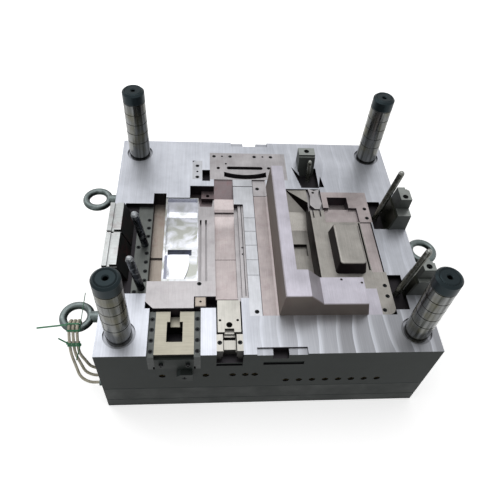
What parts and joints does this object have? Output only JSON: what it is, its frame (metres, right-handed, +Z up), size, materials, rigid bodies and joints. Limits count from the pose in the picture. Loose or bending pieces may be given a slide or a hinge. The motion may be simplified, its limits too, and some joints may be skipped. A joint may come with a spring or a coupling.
{
  "type": "injection mould half",
  "caption": "Fixed half of a large injection mould: stacked plates with guide pillars, cavity inserts, leaning angle pins, heel blocks, lifting eyes and slides in gibs.",
  "frame": {"origin": "centre of the underside of the bottom plate", "axes": "+X along the long side, towards the end with one lifting eye; +Z up, out of the parting face; +Y towards the edge away from the slides"},
  "size_m": [1.3304, 0.936, 0.602],
  "materials": {
    "plate_steel": "ground steel",
    "dark_plate": "dark oiled steel",
    "pillar_steel": "hardened and ground, oiled",
    "blued_steel": "dark hardened steel",
    "insert_steel": "machined tool steel",
    "polished_steel": "mirror polish",
    "tan_steel": "machined tool steel, oiled",
    "slide_bronze": "pale oiled steel",
    "black_screw": "black oxide",
    "brass_plug": "machined",
    "cable_sheath": "woven sheath",
    "green_plastic": "moulded nylon",
    "runner_steel": "ground steel"
  },
  "bodies": {
    "mould_half": {"clamp_plate": "dark_plate", "manifold_plate": "dark_plate", "cavity_plate": "plate_steel", "guide_pillar_front_left": "pillar_steel", "guide_pillar_front_right": "pillar_steel", "guide_pillar_back_left": "pillar_steel", "guide_pillar_back_right": "pillar_steel", "eye_bolts": "blued_steel", "insert_screws": "black_screw", "plate_screws": "black_screw", "water_port_plugs": "brass_plug", "angle_pins_left": "blued_steel", "angle_pins_right": "pillar_steel", "angle_pin_back": "pillar_steel", "heel_block_left_front": "slide_bronze", "heel_block_left_back": "slide_bronze", "heel_block_right_back": "plate_steel", "heel_block_right_front": "plate_steel", "heel_block_back": "plate_steel", "wear_plates": "blued_steel", "heel_screws": "black_screw", "left_trough_insert": "tan_steel", "polished_insert": "insert_steel", "polished_block": "polished_steel", "ribbed_insert": "insert_steel", "panel_insert_front": "tan_steel", "panel_insert_back": "tan_steel", "side_strip": "insert_steel", "parting_strip": "plate_steel", "shutoff_strip": "tan_steel", "end_pad": "insert_steel", "core_bar": "plate_steel", "trench_insert": "insert_steel", "ridge_insert": "plate_steel", "boss_insert": "insert_steel", "right_strip": "insert_steel", "right_front_insert": "plate_steel", "right_back_insert": "insert_steel", "star_core": "insert_steel", "slotted_back_insert": "insert_steel", "sloping_insert": "insert_steel", "stepped_insert": "insert_steel", "left_gib_strip": "plate_steel", "back_gib": "plate_steel", "front_lock_plate": "tan_steel", "lock_pad": "tan_steel", "large_slide_gibs": "blued_steel", "slide_stop_pin": "blued_steel", "slide_latch": "dark_plate", "small_slide_gibs": "plate_steel", "hot_runner_manifold": "runner_steel", "hot_runner_nozzles": "runner_steel", "sprue_bushing": "runner_steel", "heater_cables": "cable_sheath", "cable_glands": "blued_steel", "cable_ties": "green_plastic"},
    "large_slide": {"large_slide": "slide_bronze", "large_slide_plate": "dark_plate", "slide_plate_screws": "black_screw"},
    "small_slide": {"small_slide": "slide_bronze"}
  },
  "joints": [
    {"name": "large_slide_travel", "type": "slide", "parent": "mould_half", "child": "large_slide", "axis": [0, -1, 0], "range_m": [0, 0.04]},
    {"name": "small_slide_travel", "type": "slide", "parent": "mould_half", "child": "small_slide", "axis": [0, -1, 0], "range_m": [0, 0.007]}
  ]
}
